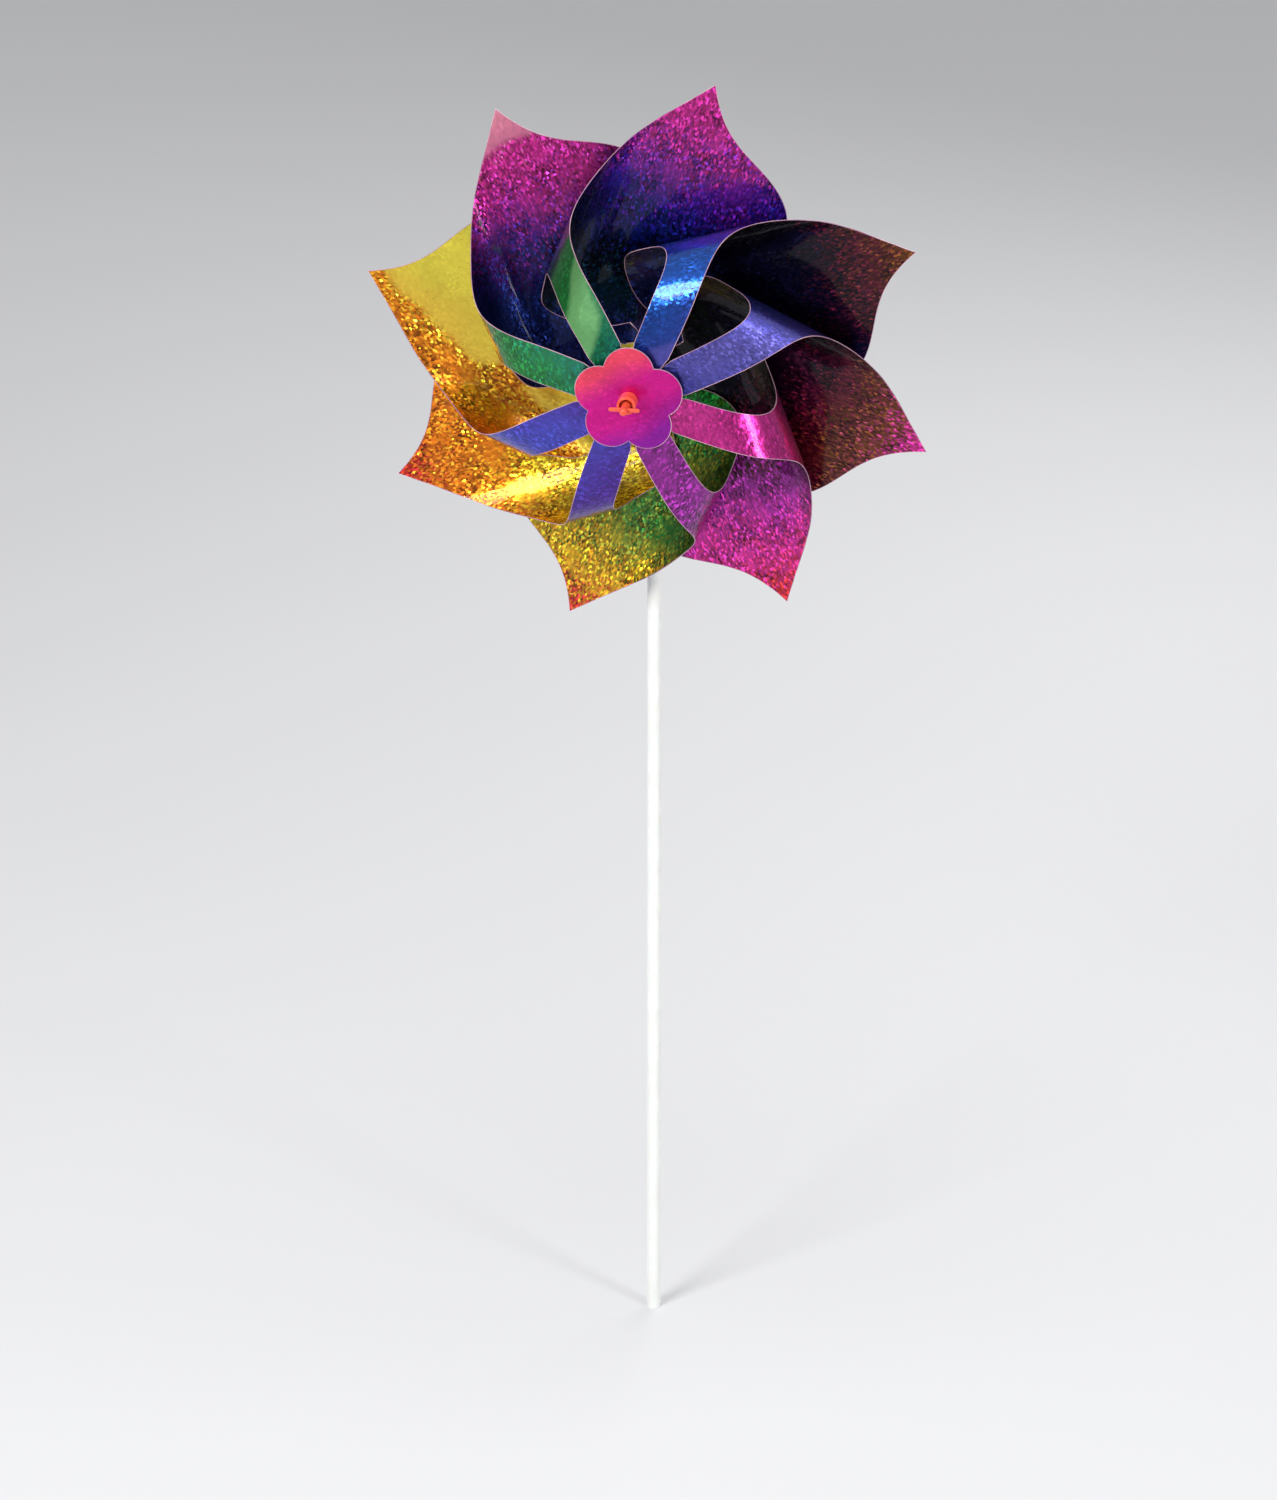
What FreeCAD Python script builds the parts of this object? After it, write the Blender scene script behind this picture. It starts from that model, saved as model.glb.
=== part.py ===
"""Pinwheel: eight curled film petals that spin on a pin at the top of a stick.

Millimetres. +Z is up along the stick, the origin is the centre of the stick's lower end,
the axle lies along Y, and the wheel's front faces -Y.
"""
import FreeCAD, Part
import math
import os

from FreeCAD import Base

V = FreeCAD.Vector

# ---- driving dimensions -------------------------------------------------------------------
AXLE_HEIGHT = 390.0          # axle above the stick's lower end
PETALS = 8
FIRST_TIP_ANGLE = 74.0       # direction of the first petal's tip, counted up from +X
PETAL_TURNS = (3.0, 2.5, 1.5, 0.0, 0.0, 0.0, -1.0, -4.0)   # how unevenly the petals are set

FILM = 0.22                  # thickness of the film
STACK_PITCH = 0.40           # axial step from one film layer to the next on the sleeve

TIP_RADIUS = 104.0           # from the axle to a petal's horn tip
WHEEL_DEPTH = 45.0           # from the roots of the petals to the ends of their arms
CURL_REACH = 44.0            # how far the curl's fold stands off the axle
REAR_SLOPE = math.radians(6.0)     # a petal's back half leans forward towards its fold
FRONT_SLOPE = math.radians(8.0)    # its arm leans forward towards the axle
CURL_TURN = math.radians(9.0)      # the tip stands this far round from the curl's own axis

ROOT_PLANE = -12.5           # Y of the middle of the root stack
HUB_FLAT = 6.2               # film is flat and square to the axle inside this radius
HUB_BLEND = 13.0             # and follows the curl outside this one

STICK_OUTER = 2.6
STICK_BORE = 1.9
HEAD_OUTER = 3.9
HEAD_TOP = 6.0               # the head's top above the axle
HEAD_FOOT = 16.0             # the head stands on the stick's end, this far under the axle
HEAD_PLUG = 14.0             # and its plug goes this far down the stick's bore
HEAD_BACK = 4.3              # Y of the head's back face, where the pin's head sits
BOSS_RADIUS = 3.4
BOSS_FACE = -7.2             # Y of the boss's front face

PIN_RADIUS = 1.45
PIN_FRONT = -72.0
PIN_BACK = 5.6
PIN_HEAD_RADIUS = 2.6
WING_SPAN = 11.0
WING_THICK = 1.5
WING_Y = -68.8

SLEEVE_OUTER = 2.3
RUNNING_CLEARANCE = 0.10
SLEEVE_BACK = -8.6
SLEEVE_FRONT = -62.4
COLLAR_RADIUS = 3.3
REAR_COLLAR_RADIUS = 4.2
REAR_COLLAR_LENGTH = 2.2
FRONT_COLLAR_LENGTH = 5.6
COLLAR_BACK = -59.6            # Y of the front collar's back face
MOUTH_RADIUS = 2.45
MOUTH_DEPTH = 2.6
FILM_HOLE = 2.5              # hole of every film layer on the sleeve

LOBES = 5
LOBE_CENTRE = 10.5
LOBE_RADIUS = 9.0

# ---- the curl's profile: reach from the axle against height in front of the roots ---------
BISECTOR_TILT = (REAR_SLOPE - FRONT_SLOPE) / 2.0
HALF_OPENING = (REAR_SLOPE + FRONT_SLOPE) / 2.0
LINES_MEET = WHEEL_DEPTH / (math.tan(REAR_SLOPE) + math.tan(FRONT_SLOPE))
CURL_RADIUS = (LINES_MEET - CURL_REACH) * math.sin(HALF_OPENING) / (1.0 - math.sin(HALF_OPENING))
MEET_HEIGHT = LINES_MEET * math.tan(REAR_SLOPE)
CENTRE_OFF = CURL_RADIUS / math.sin(HALF_OPENING)
CURL_CENTRE = (LINES_MEET - CENTRE_OFF * math.cos(BISECTOR_TILT),
               MEET_HEIGHT - CENTRE_OFF * math.sin(BISECTOR_TILT))
REAR_RUN = (CURL_CENTRE[0] * math.cos(REAR_SLOPE) + CURL_CENTRE[1] * math.sin(REAR_SLOPE))
ARC_TURN = math.pi - REAR_SLOPE - FRONT_SLOPE
FRONT_RUN = (CURL_CENTRE[0] * math.cos(FRONT_SLOPE)
             + (WHEEL_DEPTH - CURL_CENTRE[1]) * math.sin(FRONT_SLOPE))
FLAT_LENGTH = REAR_RUN + CURL_RADIUS * ARC_TURN + FRONT_RUN
FOLD_LENGTH = REAR_RUN + CURL_RADIUS * (math.pi / 2.0 - REAR_SLOPE)


def profile(length):
    """Reach and height of the film at a length along it from the root hole."""
    if length <= REAR_RUN:
        return length * math.cos(REAR_SLOPE), length * math.sin(REAR_SLOPE)
    if length >= FLAT_LENGTH - FRONT_RUN:
        left = FLAT_LENGTH - length
        return left * math.cos(FRONT_SLOPE), WHEEL_DEPTH - left * math.sin(FRONT_SLOPE)
    turn = REAR_SLOPE + (length - REAR_RUN) / CURL_RADIUS
    return (CURL_CENTRE[0] + CURL_RADIUS * math.sin(turn),
            CURL_CENTRE[1] - CURL_RADIUS * math.cos(turn))


def smooth_step(value, low, high):
    part = min(1.0, max(0.0, (value - low) / (high - low)))
    return part * part * (3.0 - 2.0 * part)


def film_point(along, length, layer):
    """A point of the petal's middle surface: (along the curl's axis, reach, height)."""
    reach, height = profile(length)
    radius = math.hypot(along, reach)
    flat = 1.0 - smooth_step(radius, HUB_FLAT, HUB_BLEND)
    hub_height = 0.0 if length < FOLD_LENGTH else WHEEL_DEPTH
    hub_height += (layer - (PETALS - 1) / 2.0) * STACK_PITCH
    return V(along, reach, height * (1.0 - flat) + hub_height * flat)


# ---- the petal's flat outline: (along the curl's axis, length from the root hole) ---------
EDGE_STEP = 3.0


def polar(radius, degrees):
    """A point of the outline given from the root hole, counted from the curl's axis."""
    return (radius * math.cos(math.radians(degrees)), radius * math.sin(math.radians(degrees)))


def from_arm_hole(along, reach):
    return (along, FLAT_LENGTH - reach)


ARM_TAB = 5.4                # film round each hole
NECK = 13.6                  # the root's narrow neck ends at this radius
TIP = polar(TIP_RADIUS, math.degrees(CURL_TURN))

OUTER_EDGE = [TIP, (89.0, 26.2), (73.0, 37.6), (58.0, 47.0), (46.3, 57.8),
              (38.0, 71.5), (29.6, 84.2), from_arm_hole(17.1, 10.6)]
ARM_END = [from_arm_hole(17.1, 10.6), from_arm_hole(11.9, 6.4), from_arm_hole(8.6, 2.4),
           from_arm_hole(5.2, -1.6), from_arm_hole(0.0, -ARM_TAB), from_arm_hole(-5.0, -2.0),
           from_arm_hole(-4.6, 3.0), from_arm_hole(-0.6, 8.0), from_arm_hole(3.7, 13.0),
           from_arm_hole(6.7, 19.0)]
INNER_EDGE = [from_arm_hole(6.7, 19.0), (17.3, 77.0), (23.2, 62.5), (18.8, 53.2),
              (8.2, 47.0), (1.4, 34.0), (3.2, 19.0), polar(NECK, 51.0)]
ROOT_TAB = [polar(NECK, 51.0), polar(7.4, 54.0), (-1.2, ARM_TAB - 0.1), (-4.9, 2.4), (-ARM_TAB, -1.6),
            (-3.0, -4.5), (1.2, -ARM_TAB + 0.1), polar(6.6, -14.0), polar(NECK, 9.0)]
BACK_EDGE = [polar(NECK, 9.0), (20.0, -6.5), (36.0, -20.5), (54.0, -27.8), (68.0, -24.6),
             (76.0, -16.5), (81.0, -7.2), (86.6, 2.8), (96.2, 12.2), TIP]


# ---- film solids ---------------------------------------------------------------------------
GRID_STEP = 2.5
GRID_LOW = (-9.0, -31.0)
GRID_HIGH = (107.0, FLAT_LENGTH + 8.0)
TINY = 0.05


def film_side(layer, offset):
    """One face of a petal's film: the middle surface moved along its normal."""
    counts = [int((high - low) / GRID_STEP) + 1 for low, high in zip(GRID_LOW, GRID_HIGH)]
    rows = []
    for i in range(counts[0]):
        along = GRID_LOW[0] + (GRID_HIGH[0] - GRID_LOW[0]) * i / (counts[0] - 1)
        row = []
        for j in range(counts[1]):
            length = GRID_LOW[1] + (GRID_HIGH[1] - GRID_LOW[1]) * j / (counts[1] - 1)
            across = film_point(along + TINY, length, layer) - film_point(along - TINY, length, layer)
            onward = film_point(along, length + TINY, layer) - film_point(along, length - TINY, layer)
            normal = across.cross(onward).normalize()
            row.append(film_point(along, length, layer) + normal * offset)
        rows.append(row)
    surface = Part.BSplineSurface()
    surface.interpolate(rows)
    return surface


def outline_curve(surface, points, layer):
    """A smooth stretch of the outline, drawn in the surface's own parameters."""
    flat = Part.BSplineCurve()
    flat.interpolate([V(along, length, 0.0) for along, length in points])
    count = max(4, int(flat.length() / EDGE_STEP))
    marks = []
    for i in range(count + 1):
        at = flat.value(flat.FirstParameter + (flat.LastParameter - flat.FirstParameter) * i / count)
        across, onward = surface.parameter(film_point(at.x, at.y, layer))
        marks.append(Base.Vector2d(across, onward))
    curve = Part.Geom2d.BSplineCurve2d()
    curve.interpolate(marks)
    return curve


def trimmed_face(surface, curves):
    edges = [curve.toShape(surface) for curve in curves]
    face = Part.Face(surface, Part.Wire(edges))
    face.validate()
    return face, edges


def petal_film(layer):
    """A petal in its own frame: X along the curl's axis, Y its reach, Z its height."""
    middle = film_side(layer, 0.0)
    outline = (OUTER_EDGE, ARM_END, INNER_EDGE, ROOT_TAB, BACK_EDGE)
    curves = [outline_curve(middle, points, layer) for points in outline]
    lower, lower_edges = trimmed_face(film_side(layer, -FILM / 2.0), curves)
    upper, upper_edges = trimmed_face(film_side(layer, FILM / 2.0), curves)
    rim = [Part.makeRuledSurface(a, b) for a, b in zip(lower_edges, upper_edges)]
    shell = Part.makeShell([lower, upper] + [face for side in rim for face in side.Faces])
    shell.sewShape()
    solid = Part.makeSolid(Part.Shell(shell.Faces))
    if solid.Volume < 0:
        solid.reverse()
    sleeve_way = Part.makeCylinder(FILM_HOLE, 3.0 * WHEEL_DEPTH, V(0, 0, -WHEEL_DEPTH))
    return solid.cut(sleeve_way)


def petal(index):
    """A petal where it sits on the wheel."""
    tip_angle = FIRST_TIP_ANGLE + 360.0 / PETALS * index + PETAL_TURNS[index]
    gamma = math.radians(tip_angle) - CURL_TURN
    frame = FreeCAD.Matrix(math.cos(gamma), -math.sin(gamma), 0.0, 0.0,
                           0.0, 0.0, -1.0, ROOT_PLANE,
                           math.sin(gamma), math.cos(gamma), 0.0, AXLE_HEIGHT,
                           0.0, 0.0, 0.0, 1.0)
    solid = petal_film(index)
    solid.Placement = FreeCAD.Placement(frame)
    return solid


# ---- turned pieces on the axle ------------------------------------------------------------
def on_axle(radius, start, end):
    """A cylinder on the axle from one Y to another, further forward."""
    return Part.makeCylinder(radius, start - end, V(0, start, AXLE_HEIGHT), V(0, -1, 0))


def ring_edges(shape, radius, at):
    """The circular edges of a radius round the axle at a Y."""
    return [edge for edge in shape.Edges
            if isinstance(edge.Curve, Part.Circle)
            and abs(edge.Curve.Radius - radius) < 1e-4 and abs(edge.Curve.Center.y - at) < 1e-4]


def flower_washer():
    """Five round lobes of film with one lobe up."""
    back = COLLAR_BACK + 0.45
    front = COLLAR_BACK + 0.15
    shape = on_axle(LOBE_CENTRE, back, front)
    for index in range(LOBES):
        angle = math.radians(90.0 + 360.0 / LOBES * index)
        centre = V(LOBE_CENTRE * math.cos(angle), back, AXLE_HEIGHT + LOBE_CENTRE * math.sin(angle))
        shape = shape.fuse(Part.makeCylinder(LOBE_RADIUS, back - front, centre, V(0, -1, 0)))
    return shape.cut(on_axle(FILM_HOLE, back + 1.0, front - 1.0)).removeSplitter()


def sleeve():
    tube = on_axle(SLEEVE_OUTER, SLEEVE_BACK, SLEEVE_FRONT)
    return tube.cut(on_axle(PIN_RADIUS + RUNNING_CLEARANCE, SLEEVE_BACK + 1.0, SLEEVE_FRONT - 1.0))


def rear_collar():
    front = SLEEVE_BACK - REAR_COLLAR_LENGTH
    ring = on_axle(REAR_COLLAR_RADIUS, SLEEVE_BACK, front)
    ring = ring.makeFillet(0.5, ring_edges(ring, REAR_COLLAR_RADIUS, SLEEVE_BACK))
    return ring.cut(on_axle(SLEEVE_OUTER, SLEEVE_BACK + 1.0, front - 1.0))


def front_collar():
    """The thick cap at the sleeve's front end, hollow at its mouth."""
    front = COLLAR_BACK - FRONT_COLLAR_LENGTH
    cap = on_axle(COLLAR_RADIUS, COLLAR_BACK, front)
    cap = cap.makeFillet(0.45, ring_edges(cap, COLLAR_RADIUS, front))
    cap = cap.cut(on_axle(SLEEVE_OUTER, COLLAR_BACK + 1.0, front + MOUTH_DEPTH))
    return cap.cut(on_axle(MOUTH_RADIUS, front + MOUTH_DEPTH, front - 1.0))


def axle_pin():
    """The fixed pin: a head at its back, two wings near its rounded tip."""
    body = on_axle(PIN_RADIUS, PIN_BACK, PIN_FRONT + PIN_RADIUS)
    body = body.fuse(Part.makeSphere(PIN_RADIUS, V(0, PIN_FRONT + PIN_RADIUS, AXLE_HEIGHT)))
    head = on_axle(PIN_HEAD_RADIUS, PIN_BACK, HEAD_BACK)
    head = head.makeFillet(0.5, ring_edges(head, PIN_HEAD_RADIUS, PIN_BACK))
    half = WING_SPAN / 2.0 - WING_THICK / 2.0
    bar = Part.makeCylinder(WING_THICK / 2.0, 2.0 * half, V(-half, WING_Y, AXLE_HEIGHT), V(1, 0, 0))
    ends = [Part.makeSphere(WING_THICK / 2.0, V(side * half, WING_Y, AXLE_HEIGHT)) for side in (-1, 1)]
    return body.multiFuse([head, bar] + ends).removeSplitter()


def rear_washer():
    back = BOSS_FACE - 0.1
    front = SLEEVE_BACK + 0.3
    ring = on_axle(REAR_COLLAR_RADIUS - 0.4, back, front)
    return ring.cut(on_axle(PIN_RADIUS + RUNNING_CLEARANCE, back + 1.0, front - 1.0))


# ---- stick --------------------------------------------------------------------------------
def upright(radius, low, high):
    return Part.makeCylinder(radius, high - low, V(0, 0, low))


def stick():
    top = AXLE_HEIGHT - HEAD_FOOT
    return upright(STICK_OUTER, 0.0, top).cut(upright(STICK_BORE, -1.0, top + 1.0))


def stick_head():
    """A moulded head plugged into the stick, with a boss that carries the pin."""
    low = AXLE_HEIGHT - HEAD_FOOT
    cap = upright(HEAD_OUTER, low, AXLE_HEIGHT + HEAD_TOP)
    rims = [edge for edge in cap.Edges if isinstance(edge.Curve, Part.Circle)]
    cap = cap.makeFillet(0.4, [edge for edge in rims if edge.Curve.Center.z < AXLE_HEIGHT])
    rims = [edge for edge in cap.Edges if isinstance(edge.Curve, Part.Circle)]
    cap = cap.makeFillet(2.0, [edge for edge in rims if edge.Curve.Center.z > AXLE_HEIGHT])
    boss = on_axle(BOSS_RADIUS, HEAD_BACK, BOSS_FACE)
    plug = upright(STICK_BORE, low - HEAD_PLUG, low + 1.0)
    cap = cap.multiFuse([boss, plug])
    return cap.cut(on_axle(PIN_RADIUS, HEAD_BACK + 1.0, BOSS_FACE - 1.0)).removeSplitter()


# ---- write every node ---------------------------------------------------------------------
def main():
    nodes = {
        "stick": stick(),
        "stick_head": stick_head(),
        "axle_pin": axle_pin(),
        "rear_washer": rear_washer(),
        "sleeve": sleeve(),
        "rear_collar": rear_collar(),
        "front_collar": front_collar(),
        "flower_washer": flower_washer(),
    }
    for index in range(PETALS):
        nodes["petal_%d" % (index + 1)] = petal(index)
    os.makedirs("parts", exist_ok=True)
    for name, shape in nodes.items():
        if len(shape.Solids) != 1 or not shape.isValid():
            raise ValueError("%s is not one valid solid" % name)
        shape.exportStep("parts/%s.step" % name)
        print("%-14s %9.2f mm3" % (name, shape.Volume))


if __name__ == "__main__":
    main()
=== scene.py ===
"""Looks of the pinwheel: film petals, flower, coral plastic hub pieces and white stick."""
import math

import bpy
import numpy as np
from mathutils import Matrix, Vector
from mathutils.geometry import delaunay_2d_cdt


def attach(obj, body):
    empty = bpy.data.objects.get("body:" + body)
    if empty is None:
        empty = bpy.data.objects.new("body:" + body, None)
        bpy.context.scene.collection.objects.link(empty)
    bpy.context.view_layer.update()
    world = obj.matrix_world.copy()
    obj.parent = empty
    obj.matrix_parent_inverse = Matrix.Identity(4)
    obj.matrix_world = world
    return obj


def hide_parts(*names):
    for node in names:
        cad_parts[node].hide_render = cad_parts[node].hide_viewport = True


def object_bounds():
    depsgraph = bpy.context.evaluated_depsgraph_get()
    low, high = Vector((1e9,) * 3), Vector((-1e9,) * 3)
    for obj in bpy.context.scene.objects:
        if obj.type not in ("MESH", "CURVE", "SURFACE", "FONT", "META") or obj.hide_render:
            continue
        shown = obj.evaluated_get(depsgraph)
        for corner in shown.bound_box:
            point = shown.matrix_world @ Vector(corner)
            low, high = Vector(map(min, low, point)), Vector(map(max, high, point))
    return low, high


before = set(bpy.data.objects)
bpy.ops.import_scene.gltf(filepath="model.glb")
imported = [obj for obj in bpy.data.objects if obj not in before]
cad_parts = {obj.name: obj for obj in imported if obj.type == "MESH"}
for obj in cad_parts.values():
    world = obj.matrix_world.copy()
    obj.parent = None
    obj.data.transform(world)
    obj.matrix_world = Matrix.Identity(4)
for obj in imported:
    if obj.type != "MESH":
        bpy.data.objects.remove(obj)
CAD_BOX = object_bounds()

MM = 0.001

# ---- the wheel's dimensions, in millimetres, as the frame has them -------------------------
AXLE_HEIGHT = 390.0
PETALS = 8
FIRST_TIP_ANGLE = 74.0
PETAL_TURNS = (3.0, 2.5, 1.5, 0.0, 0.0, 0.0, -1.0, -4.0)
FILM = 0.22
STACK_PITCH = 0.40
TIP_RADIUS = 104.0
WHEEL_DEPTH = 45.0
CURL_REACH = 44.0
REAR_SLOPE = math.radians(6.0)
FRONT_SLOPE = math.radians(8.0)
CURL_TURN = math.radians(9.0)
ROOT_PLANE = -12.5
HUB_FLAT = 6.2
HUB_BLEND = 13.0
FILM_HOLE = 2.5
COLLAR_BACK = -59.6
LOBES = 5
LOBE_CENTRE = 10.5
LOBE_RADIUS = 9.0
FLOWER_FILM = 0.3              # the flower's thickness
FLOWER_LIFT = 0.3              # its middle plane behind the front collar's back face

# ---- the curl's profile, as in the frame -----------------------------------------------------
HALF_OPENING = (REAR_SLOPE + FRONT_SLOPE) / 2.0
BISECTOR_TILT = (REAR_SLOPE - FRONT_SLOPE) / 2.0
LINES_MEET = WHEEL_DEPTH / (math.tan(REAR_SLOPE) + math.tan(FRONT_SLOPE))
CURL_RADIUS = (LINES_MEET - CURL_REACH) * math.sin(HALF_OPENING) / (1.0 - math.sin(HALF_OPENING))
CENTRE_OFF = CURL_RADIUS / math.sin(HALF_OPENING)
CURL_X = LINES_MEET - CENTRE_OFF * math.cos(BISECTOR_TILT)
CURL_Z = LINES_MEET * math.tan(REAR_SLOPE) - CENTRE_OFF * math.sin(BISECTOR_TILT)
REAR_RUN = CURL_X * math.cos(REAR_SLOPE) + CURL_Z * math.sin(REAR_SLOPE)
FRONT_RUN = CURL_X * math.cos(FRONT_SLOPE) + (WHEEL_DEPTH - CURL_Z) * math.sin(FRONT_SLOPE)
FLAT_LENGTH = REAR_RUN + CURL_RADIUS * (math.pi - REAR_SLOPE - FRONT_SLOPE) + FRONT_RUN
FOLD_LENGTH = REAR_RUN + CURL_RADIUS * (math.pi / 2.0 - REAR_SLOPE)


def profile(length):
    """Reach and height of the film at lengths along it from the root hole."""
    left = FLAT_LENGTH - length
    turn = REAR_SLOPE + (length - REAR_RUN) / CURL_RADIUS
    rear = length <= REAR_RUN
    front = left <= FRONT_RUN
    reach = np.where(rear, length * math.cos(REAR_SLOPE),
                     np.where(front, left * math.cos(FRONT_SLOPE), CURL_X + CURL_RADIUS * np.sin(turn)))
    height = np.where(rear, length * math.sin(REAR_SLOPE),
                      np.where(front, WHEEL_DEPTH - left * math.sin(FRONT_SLOPE),
                               CURL_Z - CURL_RADIUS * np.cos(turn)))
    return reach, height


def film_points(flat, layer):
    """Points of a petal's middle surface for flat points (along the curl's axis, length)."""
    along, length = flat[:, 0], flat[:, 1]
    reach, height = profile(length)
    part = np.clip((np.hypot(along, reach) - HUB_FLAT) / (HUB_BLEND - HUB_FLAT), 0.0, 1.0)
    flatness = 1.0 - part * part * (3.0 - 2.0 * part)
    hub = np.where(length < FOLD_LENGTH, 0.0, WHEEL_DEPTH) + (layer - (PETALS - 1) / 2.0) * STACK_PITCH
    return np.stack([along, reach, height * (1.0 - flatness) + hub * flatness], axis=1)


def surface_normals(flat, layer):
    step = 0.05
    sideways = np.array([step, 0.0])
    onward = np.array([0.0, step])
    across = film_points(flat + sideways, layer) - film_points(flat - sideways, layer)
    along = film_points(flat + onward, layer) - film_points(flat - onward, layer)
    normal = np.cross(across, along)
    return normal / np.linalg.norm(normal, axis=1, keepdims=True)


# ---- the petal's flat outline, as in the frame ------------------------------------------------
def polar(radius, degrees):
    return (radius * math.cos(math.radians(degrees)), radius * math.sin(math.radians(degrees)))


def from_arm_hole(along, reach):
    return (along, FLAT_LENGTH - reach)


ARM_TAB = 5.4
NECK = 13.6
TIP = polar(TIP_RADIUS, math.degrees(CURL_TURN))

OUTER_EDGE = [TIP, (89.0, 26.2), (73.0, 37.6), (58.0, 47.0), (46.3, 57.8),
              (38.0, 71.5), (29.6, 84.2), from_arm_hole(17.1, 10.6)]
ARM_END = [from_arm_hole(17.1, 10.6), from_arm_hole(11.9, 6.4), from_arm_hole(8.6, 2.4),
           from_arm_hole(5.2, -1.6), from_arm_hole(0.0, -ARM_TAB), from_arm_hole(-5.0, -2.0),
           from_arm_hole(-4.6, 3.0), from_arm_hole(-0.6, 8.0), from_arm_hole(3.7, 13.0),
           from_arm_hole(6.7, 19.0)]
INNER_EDGE = [from_arm_hole(6.7, 19.0), (17.3, 77.0), (23.2, 62.5), (18.8, 53.2),
              (8.2, 47.0), (1.4, 34.0), (3.2, 19.0), polar(NECK, 51.0)]
ROOT_TAB = [polar(NECK, 51.0), polar(7.4, 54.0), (-1.2, ARM_TAB - 0.1), (-4.9, 2.4), (-ARM_TAB, -1.6),
            (-3.0, -4.5), (1.2, -ARM_TAB + 0.1), polar(6.6, -14.0), polar(NECK, 9.0)]
BACK_EDGE = [polar(NECK, 9.0), (20.0, -6.5), (36.0, -20.5), (54.0, -27.8), (68.0, -24.6),
             (76.0, -16.5), (81.0, -7.2), (86.6, 2.8), (96.2, 12.2), TIP]


def spline(points, step):
    """A natural cubic through the points, sampled about every step."""
    points = np.array(points, dtype=float)
    gaps = np.linalg.norm(np.diff(points, axis=0), axis=1)
    knots = np.concatenate([[0.0], np.cumsum(gaps)])
    count = len(points)
    system = np.zeros((count, count))
    right = np.zeros((count, 2))
    system[0, 0] = system[-1, -1] = 1.0
    for i in range(1, count - 1):
        system[i, i - 1] = gaps[i - 1]
        system[i, i] = 2.0 * (gaps[i - 1] + gaps[i])
        system[i, i + 1] = gaps[i]
        right[i] = 6.0 * ((points[i + 1] - points[i]) / gaps[i] - (points[i] - points[i - 1]) / gaps[i - 1])
    bends = np.linalg.solve(system, right)
    out = []
    for at in np.linspace(0.0, knots[-1], max(4, int(knots[-1] / step)) + 1):
        i = min(count - 2, int(np.searchsorted(knots, at, side="right")) - 1)
        a = (knots[i + 1] - at) / gaps[i]
        b = 1.0 - a
        out.append(a * points[i] + b * points[i + 1]
                   + ((a ** 3 - a) * bends[i] + (b ** 3 - b) * bends[i + 1]) * gaps[i] ** 2 / 6.0)
    return np.array(out)


# ---- film meshes ---------------------------------------------------------------------------
EDGE_BAND = 0.2                # width of the bright band along every cut edge
OUTLINE_STEP = 0.9
CRACKLE = 100.0                # crackle cells per 100 mm of film
LATTICE = 1.8                  # spacing of the mesh points inside a film


def circle(centre, radius, count):
    turns = np.arange(count) * 2.0 * math.pi / count
    return np.stack([centre[0] + radius * np.cos(turns), centre[1] + radius * np.sin(turns)], axis=1)


def offset_loop(loop, distance):
    """The loop moved inwards (a loop runs with its inside on the left)."""
    ahead = np.roll(loop, -1, axis=0) - np.roll(loop, 1, axis=0)
    ahead /= np.maximum(np.linalg.norm(ahead, axis=1, keepdims=True), 1e-9)
    return loop + distance * np.stack([-ahead[:, 1], ahead[:, 0]], axis=1)


def inside(points, loop):
    """True for points inside a closed loop."""
    hit = np.zeros(len(points), dtype=bool)
    x, y = points[:, 0], points[:, 1]
    for (ax, ay), (bx, by) in zip(loop, np.roll(loop, -1, axis=0)):
        crosses = (ay > y) != (by > y)
        if ay != by:
            hit ^= crosses & (x < (bx - ax) * (y - ay) / (by - ay) + ax)
    return hit


def film_sheet(outline, holes):
    """Flat points and triangles of a film with holes, and which triangles lie in the edge band."""
    onward = np.roll(outline, -1, axis=0)
    area = 0.5 * np.sum(outline[:, 0] * onward[:, 1] - onward[:, 0] * outline[:, 1])
    if area < 0.0:
        outline = outline[::-1]
    inner = offset_loop(outline, EDGE_BAND)
    loops = [outline, inner] + holes
    low, high = outline.min(axis=0), outline.max(axis=0)
    rows = np.arange(low[1], high[1], LATTICE * 0.866)
    lattice = []
    for number, y in enumerate(rows):
        for x in np.arange(low[0] + (number % 2) * LATTICE / 2.0, high[0], LATTICE):
            lattice.append((x, y))
    lattice = np.array(lattice)
    keep = inside(lattice, offset_loop(outline, EDGE_BAND + 0.45 * LATTICE))
    for x, y in outline[::2]:
        keep &= np.hypot(lattice[:, 0] - x, lattice[:, 1] - y) > EDGE_BAND + 0.4 * LATTICE
    for hole in holes:
        centre = hole.mean(axis=0)
        radius = np.linalg.norm(hole[0] - centre)
        keep &= np.hypot(lattice[:, 0] - centre[0], lattice[:, 1] - centre[1]) > radius + 0.5 * LATTICE
    points = np.concatenate(loops + [lattice[keep]])
    edges, start = [], 0
    for loop in loops:
        edges += [(start + i, start + (i + 1) % len(loop)) for i in range(len(loop))]
        start += len(loop)
    made = delaunay_2d_cdt([Vector(p) for p in points], edges, [], 0, 1e-6)
    points = np.array([tuple(v) for v in made[0]])
    triangles = np.array([f for f in made[2] if len(f) == 3])
    middle = points[triangles].mean(axis=1)
    good = inside(middle, outline)
    for hole in holes:
        good &= ~inside(middle, hole)
    triangles, middle = triangles[good], middle[good]
    corners = points[triangles]
    turn = np.cross(corners[:, 1] - corners[:, 0], corners[:, 2] - corners[:, 0])
    triangles[turn < 0] = triangles[turn < 0][:, ::-1]
    band = ~inside(middle, inner)
    return points, triangles, band


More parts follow.
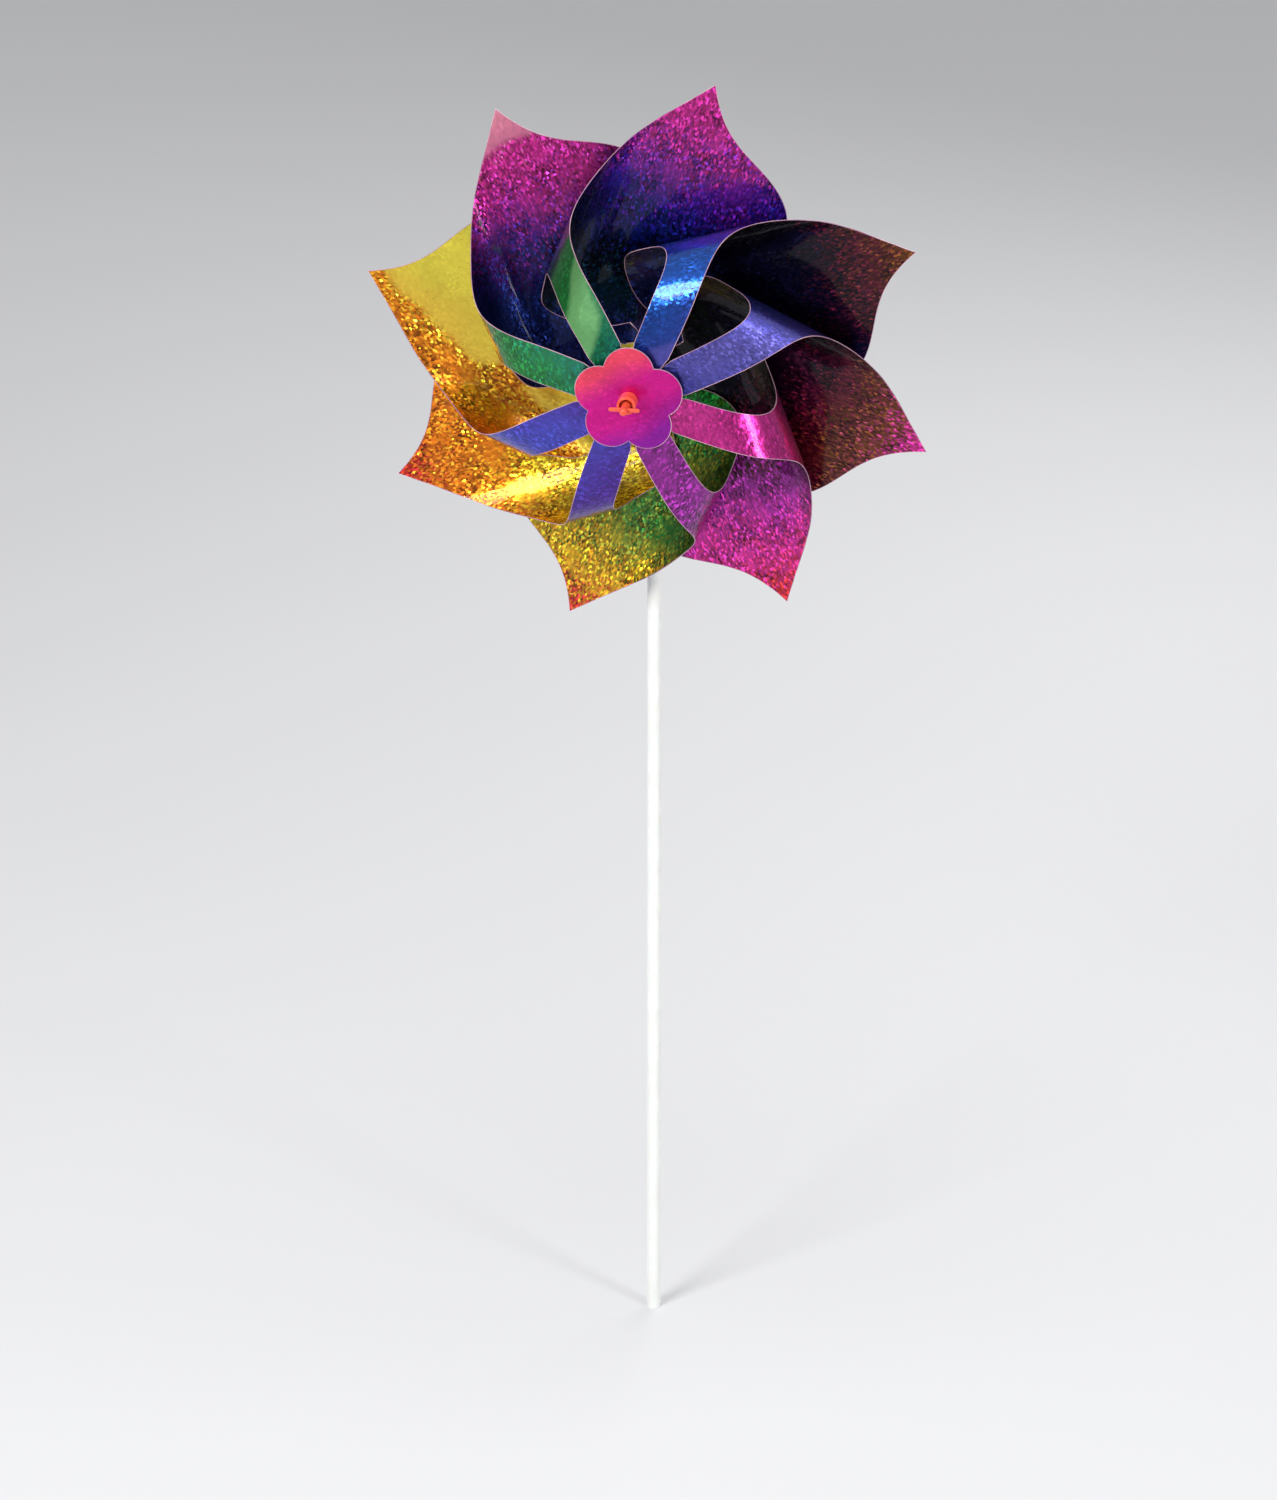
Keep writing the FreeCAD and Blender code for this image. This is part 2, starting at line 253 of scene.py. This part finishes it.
def film_object(name, sheet, place, materials, thickness=FILM):
    """A closed film: face side, back side and rim. place(flat) gives points and normals in mm."""
    points, triangles, band = sheet
    used = np.unique(triangles)
    index = -np.ones(len(points), dtype=int)
    index[used] = np.arange(len(used))
    points, triangles = points[used], index[triangles]
    count = len(points)
    middle, normal = place(points)
    half = thickness / 2.0
    verts = np.concatenate([middle + normal * half, middle - normal * half]) * MM
    faces = [tuple(t) for t in triangles] + [tuple(t[::-1] + count) for t in triangles]
    slots = [2 if b else 0 for b in band] + [2 if b else 1 for b in band]
    sides = {}
    for a, b, c in triangles:
        for pair in ((a, b), (b, c), (c, a)):
            sides[pair] = True
    rim = [pair for pair in sides if (pair[1], pair[0]) not in sides]
    faces += [(b, a, a + count, b + count) for a, b in rim]
    slots += [2] * len(rim)
    mesh = bpy.data.meshes.new(name)
    mesh.from_pydata([tuple(v) for v in verts], [], faces)
    for material in materials:
        mesh.materials.append(material)
    mesh.polygons.foreach_set("material_index", slots)
    mesh.polygons.foreach_set("use_smooth", [True] * len(faces))
    flat = mesh.uv_layers.new(name="flat")
    twice = np.concatenate([points, points])
    loops = np.zeros(len(mesh.loops), dtype=np.int32)
    mesh.loops.foreach_get("vertex_index", loops)
    flat.data.foreach_set("uv", (twice[loops] * 0.01).ravel())
    smooth = np.concatenate([normal, -normal])[loops]
    first_rim = 6 * len(triangles)
    for number, (a, b) in enumerate(rim):
        edge = verts[b] - verts[a]
        out = np.cross(edge, normal[a])
        smooth[first_rim + 4 * number:first_rim + 4 * number + 4] = out / max(np.linalg.norm(out), 1e-12)
    mesh.normals_split_custom_set([tuple(n) for n in smooth])
    mesh.update()
    piece = bpy.data.objects.new(name, mesh)
    bpy.context.collection.objects.link(piece)
    return piece


def petal_place(index):
    """Flat petal points to the wheel: points and normals in the frame, in mm."""
    tip_angle = FIRST_TIP_ANGLE + 360.0 / PETALS * index + PETAL_TURNS[index]
    gamma = math.radians(tip_angle) - CURL_TURN
    axes = np.array([[math.cos(gamma), 0.0, math.sin(gamma)],
                     [-math.sin(gamma), 0.0, math.cos(gamma)],
                     [0.0, -1.0, 0.0]])
    origin = np.array([0.0, ROOT_PLANE, AXLE_HEIGHT])

    def place(flat):
        return film_points(flat, index) @ axes + origin, surface_normals(flat, index) @ axes
    return place


def petal_sheet():
    stretches = [spline(points, OUTLINE_STEP)[:-1]
                 for points in (OUTER_EDGE, ARM_END, INNER_EDGE, ROOT_TAB, BACK_EDGE)]
    outline = np.concatenate(stretches)
    holes = [circle((0.0, 0.0), FILM_HOLE, 40), circle((0.0, FLAT_LENGTH), FILM_HOLE, 40)]
    return film_sheet(outline, holes)


def flower_sheet():
    """Five round lobes, one up."""
    outline = []
    for number in range(720):
        angle = 2.0 * math.pi * number / 720
        lobe = round((angle - math.pi / 2.0) * LOBES / (2.0 * math.pi))
        nearest = lobe * 2.0 * math.pi / LOBES + math.pi / 2.0
        off = angle - nearest
        reach = LOBE_CENTRE * math.cos(off) + math.sqrt(LOBE_RADIUS ** 2 - (LOBE_CENTRE * math.sin(off)) ** 2)
        outline.append((reach * math.cos(angle), reach * math.sin(angle)))
    return film_sheet(np.array(outline)[::4], [circle((0.0, 0.0), FILM_HOLE, 40)])


def flower_place(flat):
    count = len(flat)
    plane = np.full(count, COLLAR_BACK + FLOWER_LIFT)
    middle = np.stack([flat[:, 0], plane, AXLE_HEIGHT + flat[:, 1]], axis=1)
    return middle, np.tile([0.0, -1.0, 0.0], (count, 1))


# ---- materials ------------------------------------------------------------------------------
SHEEN_SOFTNESS = 0.012         # half the width of the soft border of a band of painted sheen
WAVE = 0.34                    # how far the slow wave pushes the colour sweep
JITTER = 0.26                  # how far one crackle cell's colour strays from its neighbours'
SHEEN_MIX = 0.5                     # how much of the pale painted sheen covers its band
TILT = 0.36                    # how far the crackle cells lean
METALLIC = 0.92                # the foil's metallic share


class Nodes:
    """A short way to write a material's nodes."""

    def __init__(self, name):
        self.material = bpy.data.materials.new(name)
        self.material.use_nodes = True
        self.tree = self.material.node_tree
        self.shader = self.tree.nodes["Principled BSDF"]

    def add(self, kind, **settings):
        node = self.tree.nodes.new(kind)
        for key, value in settings.items():
            setattr(node, key, value)
        return node

    def link(self, output, entry):
        self.tree.links.new(output, entry)

    def value(self, operation, first, second=None, clamp=False):
        node = self.add("ShaderNodeMath", operation=operation, use_clamp=clamp)
        for entry, given in zip(node.inputs, (first, second)):
            if given is None:
                continue
            if isinstance(given, (int, float)):
                entry.default_value = given
            else:
                self.link(given, entry)
        return node.outputs[0]

    def ramp(self, factor, stops):
        node = self.add("ShaderNodeValToRGB")
        elements = node.color_ramp.elements
        while len(elements) < len(stops):
            elements.new(0.5)
        for element, (position, colour) in zip(elements, stops):
            element.position = position
            element.color = (*colour, 1.0)
        self.link(factor, node.inputs["Fac"])
        return node.outputs["Color"]

    def mix(self, factor, first, second, blend="MIX"):
        node = self.add("ShaderNodeMix", data_type="RGBA", blend_type=blend)
        sockets = [s for s in node.inputs if s.enabled]
        for entry, given in zip(sockets, (factor, first, second)):
            if isinstance(given, (int, float)):
                entry.default_value = given
            elif isinstance(given, tuple):
                entry.default_value = (*given, 1.0)
            else:
                self.link(given, entry)
        return [s for s in node.outputs if s.enabled][0]

    def noise(self, vector, scale, detail=2.0):
        node = self.add("ShaderNodeTexNoise")
        node.inputs["Scale"].default_value = scale
        node.inputs["Detail"].default_value = detail
        self.link(vector, node.inputs["Vector"])
        return node.outputs["Fac"]

    def cells(self, vector, scale):
        node = self.add("ShaderNodeTexVoronoi", voronoi_dimensions="2D")
        node.inputs["Scale"].default_value = scale
        self.link(vector, node.inputs["Vector"])
        split = self.add("ShaderNodeSeparateColor")
        self.link(node.outputs["Color"], split.inputs[0])
        return node.outputs["Color"], split.outputs


def slide(nodes, flat, direction, offset):
    """Where a point lies along a direction on the film, with a slow wave in it."""
    across = nodes.add("ShaderNodeVectorMath", operation="DOT_PRODUCT")
    nodes.link(flat, across.inputs[0])
    across.inputs[1].default_value = (*direction, 0.0)
    wave = nodes.value("MULTIPLY", nodes.value("SUBTRACT", nodes.noise(flat, 2.6, 1.0), 0.5), WAVE)
    return nodes.value("ADD", nodes.value("ADD", across.outputs["Value"], wave), offset)


def painted_sheen_band(nodes, where, look):
    """1 in the band of painted sheen, where the film is drawn smooth and pale as if it caught the light, 0
    outside it.
    """
    if "painted_sheen" not in look:
        return None
    low, high = look["painted_sheen"]
    bare, painted_sheen = (0.0,) * 3, (1.0,) * 3
    stops = [(0.0, painted_sheen)]
    if low > 0.0:
        stops = [(low - SHEEN_SOFTNESS, bare), (low + SHEEN_SOFTNESS, painted_sheen)]
    if high < 1.0:
        stops += [(high - SHEEN_SOFTNESS, painted_sheen), (high + SHEEN_SOFTNESS, bare)]
    else:
        stops.append((1.0, painted_sheen))
    return nodes.ramp(where, stops)


def film_colour(nodes, flat, look):
    """Colour that slides over the film, broken into small crackle cells, some darkened into specks and some
    brightened into painted glints.
    """
    where = slide(nodes, flat, look["direction"], look.get("offset", 0.0))
    squeeze = nodes.add("ShaderNodeMapping")
    squeeze.inputs["Rotation"].default_value = (0.0, 0.0, 0.6)
    squeeze.inputs["Scale"].default_value = (1.0, 1.6, 1.0)
    nodes.link(flat, squeeze.inputs["Vector"])
    cell_colour, cell = nodes.cells(squeeze.outputs[0], CRACKLE)
    patch = nodes.ramp(nodes.noise(flat, 7.0, 3.0), [(0.36, (0.35,) * 3), (0.60, (1.0,) * 3)])
    # painted sheen: a pale, smooth band that stands for light the film reflects there
    sheen_veil = painted_sheen_band(nodes, where, look)
    if sheen_veil:
        bare = nodes.value("SUBTRACT", 1.0, nodes.value("MULTIPLY", sheen_veil, 0.85))
        patch = nodes.value("MULTIPLY", patch, bare)
    crackle = nodes.value("MULTIPLY", patch, look["sparkle"])
    jitter = nodes.value("MULTIPLY", nodes.value("SUBTRACT", cell[0], 0.5), crackle)
    base = nodes.ramp(nodes.value("ADD", where, nodes.value("MULTIPLY", jitter, JITTER)), look["colours"])
    # brightness of each cell: 0.12 for dark specks, up to 2.6 for painted glints
    painted_glint_gain = nodes.ramp(cell[1], [(0.0, (0.12,) * 3), (0.45, (0.62,) * 3),
                                (0.80, (1.1,) * 3), (0.93, (2.6,) * 3)])
    glint = nodes.mix(crackle, (1.0, 1.0, 1.0), painted_glint_gain)
    colour = nodes.mix(1.0, base, glint, "MULTIPLY")
    if sheen_veil:
        colour = nodes.mix(nodes.value("MULTIPLY", sheen_veil, SHEEN_MIX), colour, look["sheen_veil"])
    return colour, cell_colour, crackle


def film_material(name, look, roughness, coat):
    nodes = Nodes(name)
    flat = nodes.add("ShaderNodeUVMap", uv_map="flat").outputs[0]
    colour, cell_colour, crackle = film_colour(nodes, flat, look)
    nodes.link(colour, nodes.shader.inputs["Base Color"])
    centred = nodes.add("ShaderNodeVectorMath", operation="SUBTRACT")
    nodes.link(cell_colour, centred.inputs[0])
    centred.inputs[1].default_value = (0.5, 0.5, 0.5)
    tilt = nodes.add("ShaderNodeVectorMath", operation="SCALE")
    nodes.link(centred.outputs[0], tilt.inputs[0])
    nodes.link(nodes.value("ADD", nodes.value("MULTIPLY", crackle, TILT), 0.03), tilt.inputs["Scale"])
    swell = nodes.add("ShaderNodeBump")
    swell.inputs["Strength"].default_value = 0.35
    swell.inputs["Distance"].default_value = 0.004
    nodes.link(nodes.noise(flat, 4.0, 1.0), swell.inputs["Height"])
    lean = nodes.add("ShaderNodeVectorMath", operation="ADD")
    nodes.link(swell.outputs[0], lean.inputs[0])
    nodes.link(tilt.outputs[0], lean.inputs[1])
    unit = nodes.add("ShaderNodeVectorMath", operation="NORMALIZE")
    nodes.link(lean.outputs[0], unit.inputs[0])
    nodes.link(unit.outputs[0], nodes.shader.inputs["Normal"])
    nodes.link(swell.outputs[0], nodes.shader.inputs["Coat Normal"])
    grain = nodes.value("MULTIPLY", nodes.noise(flat, 60.0, 2.0), 0.12)
    nodes.link(nodes.value("ADD", grain, roughness - 0.06), nodes.shader.inputs["Roughness"])
    nodes.shader.inputs["Metallic"].default_value = METALLIC
    nodes.shader.inputs["Coat Weight"].default_value = coat
    nodes.shader.inputs["Coat Roughness"].default_value = 0.06
    return nodes.material


def cut_edge_material():
    """The film's cut edge: bare and faintly pink."""
    nodes = Nodes("cut_edge")
    flat = nodes.add("ShaderNodeUVMap", uv_map="flat").outputs[0]
    colour = nodes.ramp(nodes.noise(flat, 9.0, 2.0), [(0.3, (0.30, 0.13, 0.24)), (0.7, (0.62, 0.40, 0.46))])
    nodes.link(colour, nodes.shader.inputs["Base Color"])
    nodes.link(nodes.value("MULTIPLY", nodes.noise(flat, 80.0), 0.6), nodes.shader.inputs["Roughness"])
    return nodes.material


def plastic_material(name, dark, light, roughness, grain_scale):
    """Moulded plastic: faint colour drift, fine grain and a soft skin."""
    nodes = Nodes(name)
    place = nodes.add("ShaderNodeTexCoord").outputs["Object"]
    drift = nodes.ramp(nodes.noise(place, 140.0, 3.0), [(0.3, dark), (0.7, light)])
    nodes.link(drift, nodes.shader.inputs["Base Color"])
    fine = nodes.noise(place, grain_scale, 4.0)
    nodes.link(nodes.value("ADD", nodes.value("MULTIPLY", fine, 0.2), roughness - 0.1),
               nodes.shader.inputs["Roughness"])
    bump = nodes.add("ShaderNodeBump")
    bump.inputs["Strength"].default_value = 0.15
    bump.inputs["Distance"].default_value = 0.0002
    nodes.link(fine, bump.inputs["Height"])
    nodes.link(bump.outputs[0], nodes.shader.inputs["Normal"])
    nodes.shader.inputs["Subsurface Weight"].default_value = 0.15
    nodes.shader.inputs["Subsurface Scale"].default_value = 0.002
    return nodes.material


PINK = (0.95, 0.20, 0.38)
MAGENTA = (0.66, 0.03, 0.30)
PURPLE = (0.27, 0.02, 0.27)
VIOLET = (0.06, 0.015, 0.25)
INDIGO = (0.05, 0.06, 0.44)
LAVENDER = (0.20, 0.17, 0.70)
NAVY = (0.008, 0.020, 0.14)
BLUE = (0.013, 0.09, 0.46)
TEAL = (0.002, 0.17, 0.15)
GREEN = (0.010, 0.20, 0.035)
LIME = (0.50, 0.68, 0.09)
OLIVE = (0.24, 0.25, 0.02)
YELLOW = (0.95, 0.72, 0.05)
GOLD = (0.90, 0.47, 0.02)
ORANGE = (0.95, 0.25, 0.015)
RED = (0.62, 0.03, 0.03)
MAROON = (0.085, 0.006, 0.020)
BRONZE = (0.15, 0.045, 0.010)
# the next two colours are painted shade and dark reflection for the insides of the curls
SHADE_BLACK = (0.005, 0.004, 0.013)
SHADE_TEAL = (0.004, 0.04, 0.07)
# the next three colours are used only for painted sheen
SUN_SHEEN = (1.0, 0.88, 0.12)
MINT_SHEEN = (0.38, 0.85, 0.32)
BLUSH_SHEEN = (1.0, 0.42, 0.50)
ORCHID = (0.28, 0.012, 0.34)
FUCHSIA = (0.66, 0.010, 0.27)
CORAL = (0.92, 0.07, 0.14)


def spread(*colours):
    last = len(colours) - 1
    return [(0.06 + 0.88 * i / last, colour) for i, colour in enumerate(colours)]


# How each petal's face looks from hub to tip (or across it), and its back from fold to hub.
# Where a look names a band and a pale colour for it, that band is painted sheen: a reflection of light drawn
# into the colour.
OUTWARD = {"direction": (0.95, 0.10), "sparkle": 1.0}
ACROSS = {"direction": (0.35, 0.95), "sparkle": 1.0, "offset": 0.25}
BACK = {"direction": (0.3, 0.85), "sparkle": 0.5}
# The near-black stretches at the hub ends of faces 1, 6, 7 and 8 are painted shade and dark reflection deep
# inside the curls.
PETAL_LOOKS = [
    ({**OUTWARD, "colours": spread(NAVY, SHADE_TEAL, SHADE_BLACK, NAVY, VIOLET, PURPLE, MAGENTA, MAGENTA)},
     {**BACK, "colours": spread(MAROON, OLIVE, GREEN, GREEN, TEAL), "painted_sheen": (0.70, 0.80), "sheen_veil": MINT_SHEEN}),
    ({**OUTWARD, "colours": spread(NAVY, NAVY, NAVY, NAVY, VIOLET, PURPLE, MAGENTA, MAGENTA, PINK),
      "painted_sheen": (0.83, 1.0), "sheen_veil": BLUSH_SHEEN},
     {**BACK, "colours": spread(LIME, OLIVE, GREEN, GREEN, TEAL), "sparkle": 0.7}),
    ({**ACROSS, "offset": 0.02, "colours": spread(LIME, YELLOW, YELLOW, ORANGE, ORANGE, ORANGE, RED),
      "painted_sheen": (0.0, 0.46), "sheen_veil": SUN_SHEEN},
     {**BACK, "colours": spread(ORANGE, PURPLE, VIOLET, INDIGO, VIOLET)}),
    ({**OUTWARD, "colours": spread(OLIVE, GOLD, YELLOW, GOLD, ORANGE, ORANGE, RED)},
     {**BACK, "colours": spread(GOLD, PURPLE, VIOLET, VIOLET, INDIGO)}),
    ({**OUTWARD, "colours": spread(GREEN, GREEN, OLIVE, GREEN, OLIVE, GOLD, RED)},
     {**BACK, "colours": spread(VIOLET, VIOLET, PURPLE, PURPLE, PURPLE), "sparkle": 1.0}),
    ({**OUTWARD, "colours": spread(SHADE_BLACK, SHADE_BLACK, MAROON, PURPLE, MAGENTA, RED)},
     {**BACK, "colours": spread(VIOLET, PURPLE, MAGENTA, MAGENTA, MAGENTA)}),
    ({**OUTWARD, "colours": spread(SHADE_BLACK, SHADE_BLACK, SHADE_BLACK, SHADE_BLACK, MAROON, BRONZE, MAGENTA)},
     {**BACK, "colours": spread(VIOLET, VIOLET, INDIGO, LAVENDER, INDIGO)}),
    ({**OUTWARD, "colours": spread(NAVY, NAVY, SHADE_BLACK, SHADE_BLACK, SHADE_BLACK, MAROON, BRONZE)},
     {**BACK, "colours": spread(VIOLET, INDIGO, BLUE, BLUE, INDIGO), "painted_sheen": (0.84, 1.0), "sheen_veil": LAVENDER}),
]


# ---- making the pieces -------------------------------------------------------------------------
def make_petals(edge):
    sheet = petal_sheet()
    for index, (face, back) in enumerate(PETAL_LOOKS):
        number = index + 1
        materials = [film_material("petal_face_%d" % number, face, 0.30, 0.25),
                     film_material("petal_back_%d" % number, back, 0.24, 0.45),
                     edge]
        piece = film_object("film_petal_%d" % number, sheet, petal_place(index), materials)
        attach(piece, "wheel")
        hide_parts("petal_%d" % number)


def make_flower(edge):
    face = {"direction": (-0.9, 1.9), "offset": 0.5, "sparkle": 0.14,
            "colours": spread(ORCHID, ORCHID, FUCHSIA, FUCHSIA, CORAL, CORAL)}
    back = {"direction": (0.9, 0.9), "offset": 0.5, "sparkle": 0.3, "colours": spread(BLUE, VIOLET, NAVY)}
    materials = [film_material("flower_face", face, 0.30, 0.15),
                 film_material("flower_back", back, 0.25, 0.5), edge]
    piece = film_object("film_flower", flower_sheet(), flower_place, materials, FLOWER_FILM)
    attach(piece, "wheel")
    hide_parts("flower_washer")


def dress_cad(material, names):
    for name in names:
        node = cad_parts[name]
        node.data.materials.clear()
        node.data.materials.append(material)


def make_floor():
    bpy.ops.mesh.primitive_plane_add(size=40.0, location=(0.0, 0.0, 0.0))
    floor = bpy.context.object
    floor.name = "floor"
    nodes = Nodes("floor_paint")
    place = nodes.add("ShaderNodeTexCoord").outputs["Object"]
    nodes.link(nodes.ramp(nodes.noise(place, 2.0), [(0.0, (0.66, 0.66, 0.67)), (1.0, (0.70, 0.70, 0.71))]),
               nodes.shader.inputs["Base Color"])
    nodes.shader.inputs["Roughness"].default_value = 0.7
    floor.data.materials.append(nodes.material)


def area_light(name, place, target, size, power, colour=(1.0, 1.0, 1.0)):
    light = bpy.data.lights.new(name, "AREA")
    light.shape = "RECTANGLE"
    light.size, light.size_y = size
    light.energy = power
    light.color = colour
    lamp = bpy.data.objects.new(name, light)
    lamp.location = place
    lamp.rotation_euler = (Vector(target) - Vector(place)).to_track_quat("-Z", "Y").to_euler()
    bpy.context.collection.objects.link(lamp)


def make_lights(centre):
    area_light("key", (-0.7, -1.1, 0.95), centre, (0.5, 0.7), 15.0)
    area_light("fill", (1.1, -0.8, 0.6), centre, (0.25, 0.9), 7.0)
    area_light("top", (0.1, -0.2, 1.4), centre, (0.8, 0.5), 4.0)
    area_light("back", (0.4, 1.0, 0.8), centre, (0.9, 0.6), 5.0)
    area_light("sky", (0.0, 0.8, 3.4), (0.0, 0.8, 0.0), (7.0, 7.0), 38.0)
    world = bpy.data.worlds.new("studio")
    world.use_nodes = True
    world.node_tree.nodes["Background"].inputs["Color"].default_value = (0.92, 0.93, 0.95, 1.0)
    world.node_tree.nodes["Background"].inputs["Strength"].default_value = 0.42
    bpy.context.scene.world = world
    bpy.context.scene.view_settings.view_transform = "Standard"


def make_camera(low, high):
    centre = (Vector(low) + Vector(high)) / 2.0
    elevation, azimuth = math.radians(24.0), math.radians(9.0)
    distance = 2.3
    away = Vector((math.sin(azimuth) * math.cos(elevation), -math.cos(azimuth) * math.cos(elevation),
                   math.sin(elevation)))
    camera = bpy.data.cameras.new("camera")
    seen = 0.54                # metres of height in the picture at the object
    camera.lens = camera.sensor_width * distance / seen
    stand = bpy.data.objects.new("camera", camera)
    stand.location = centre + away * distance
    stand.rotation_euler = (-away).to_track_quat("-Z", "Y").to_euler()
    bpy.context.collection.objects.link(stand)
    bpy.context.scene.camera = stand


def main():
    low, high = CAD_BOX
    make_camera(low, high)
    edge = cut_edge_material()
    make_petals(edge)
    make_flower(edge)
    coral = plastic_material("coral", (0.72, 0.07, 0.03), (0.86, 0.11, 0.05), 0.32, 900.0)
    white = plastic_material("white", (0.80, 0.80, 0.77), (0.86, 0.86, 0.84), 0.35, 700.0)
    dress_cad(coral, ("axle_pin", "sleeve", "rear_collar", "front_collar"))
    dress_cad(white, ("stick", "stick_head", "rear_washer"))
    make_floor()
    make_lights((0.0, -0.04, AXLE_HEIGHT * MM))


main()
